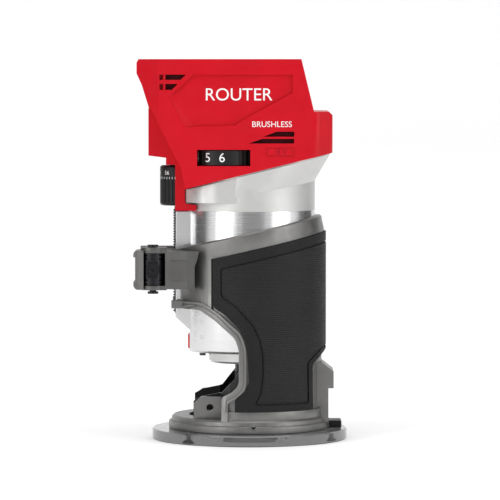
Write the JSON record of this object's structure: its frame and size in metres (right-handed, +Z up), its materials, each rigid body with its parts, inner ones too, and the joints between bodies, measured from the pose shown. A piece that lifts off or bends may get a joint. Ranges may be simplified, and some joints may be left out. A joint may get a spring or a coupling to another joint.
{
  "type": "trim router",
  "caption": "Compact cordless trim router: motor unit with collet, sliding in a fixed base with a clamp lever, depth dial, rubber grip and clear sub-base.",
  "frame": {"origin": "centre of the sub-base's bottom face, on the spindle axis", "axes": "+Z up along the spindle axis, +X towards the rear, -X towards the clamp and depth dial, -Y towards the speed dial side"},
  "size_m": [0.1272, 0.117, 0.2275],
  "materials": {
    "cast_grey": "satin cast, grey paint",
    "sub_base_clear": "smoky clear polycarbonate",
    "steel": "plain steel",
    "black_steel": "black oxide steel",
    "grip_rubber": "fine textured rubber",
    "black_plastic": "matt moulded plastic",
    "red_plastic": "satin gloss moulded plastic",
    "bright_aluminium": "turned aluminium",
    "cast_aluminium": "satin cast aluminium",
    "lens_clear": "clear lens",
    "circuit_board": "solder mask",
    "copper": "enamelled copper",
    "lamination": "laminated steel",
    "magnet": "plated magnet",
    "contact_brass": "plated contact",
    "red_button": "matt red plastic",
    "lever_grey": "satin grey paint",
    "foam": "open-cell foam",
    "wire": "silicone insulated wire"
  },
  "bodies": {
    "base": {"base_casting": "cast_grey", "sub_base": "sub_base_clear", "sub_base_screws": "steel", "grip_near": "grip_rubber", "grip_far": "grip_rubber", "chip_shield_near": "black_plastic", "chip_shield_far": "black_plastic", "clamp_bolt": "black_steel", "clamp_barrel": "black_steel", "clamp_pins": "black_steel", "clamp_nut": "steel", "clamp_plate": "black_steel", "latch_spring": "steel", "release_spring": "steel"},
    "lever": {"clamp_lever": "lever_grey"},
    "release": {"release_button": "black_plastic"},
    "latch": {"latch_tab": "black_plastic"},
    "motor": {"motor_barrel": "bright_aluminium", "upper_collar": "cast_aluminium", "nose_cap": "cast_aluminium", "light_lenses": "lens_clear", "light_board": "circuit_board", "lower_bearing": "steel", "upper_bearing": "steel", "upper_bracket": "cast_aluminium", "stator_core": "lamination", "stator_windings": "copper", "hall_board": "circuit_board", "housing_near": "red_plastic", "housing_far": "red_plastic", "housing_screws": "black_steel", "battery_rail": "black_plastic", "terminal_block": "black_plastic", "battery_blades": "contact_brass", "controller_tray": "black_plastic", "controller_board": "circuit_board", "motor_leads": "wire", "power_switch": "black_plastic", "speed_board": "circuit_board", "spindle_lock_spring": "steel", "dust_filters": "foam"},
    "rotor": {"spindle": "black_steel", "rotor_core": "lamination", "rotor_magnets": "magnet", "cooling_fan": "black_plastic", "collet": "steel", "collet_nut": "black_steel"},
    "depth_screw": {"depth_dial": "black_plastic", "lead_screw": "black_steel"},
    "speed_wheel": {"speed_dial": "black_plastic"},
    "power": {"power_button": "red_button"},
    "spindle_lock": {"spindle_lock_button": "red_button"}
  },
  "joints": [
    {"name": "motor_slide", "type": "slide", "parent": "base", "child": "motor", "axis": [0, 0, 1], "range_m": [-0.015, 0.025]},
    {"name": "depth_dial_turn", "type": "hinge", "parent": "motor", "child": "depth_screw", "pos_m": [-0.042, 0, 0.15], "axis": [0, 0, 1], "range_deg": [-3410, 5680]},
    {"name": "spindle_spin", "type": "hinge", "parent": "motor", "child": "rotor", "pos_m": [0, 0, 0.09], "axis": [0, 0, 1], "continuous": true},
    {"name": "speed_dial_turn", "type": "hinge", "parent": "motor", "child": "speed_wheel", "pos_m": [-0.0152, -0.0209, 0.1693], "axis": [0, 0, 1], "range_deg": [-5, 138]},
    {"name": "power_button_press", "type": "slide", "parent": "motor", "child": "power", "axis": [1, 0, 0], "range_m": [0, 0.002], "stiffness_N_per_m": 1200},
    {"name": "spindle_lock_press", "type": "slide", "parent": "motor", "child": "spindle_lock", "axis": [1, 0, 0], "range_m": [0, 0.003], "stiffness_N_per_m": 800, "deforming": ["spindle_lock_spring"]},
    {"name": "clamp_lever_swing", "type": "hinge", "parent": "base", "child": "lever", "pos_m": [-0.0572, -0.032, 0.1033], "axis": [0, 0, -1], "range_deg": [0, 75]},
    {"name": "depth_release_press", "type": "slide", "parent": "base", "child": "release", "axis": [0, -1, 0], "range_m": [0, 0.002], "stiffness_N_per_m": 1500, "deforming": ["release_spring"]},
    {"name": "accessory_latch_press", "type": "slide", "parent": "base", "child": "latch", "axis": [-1, 0, 0], "range_m": [0, 0.0025], "stiffness_N_per_m": 1000, "deforming": ["latch_spring"]}
  ],
  "couplings": [
    {"joint": "depth_dial_turn", "follows": "motor_slide", "rad_per_m": 3957.9}
  ]
}
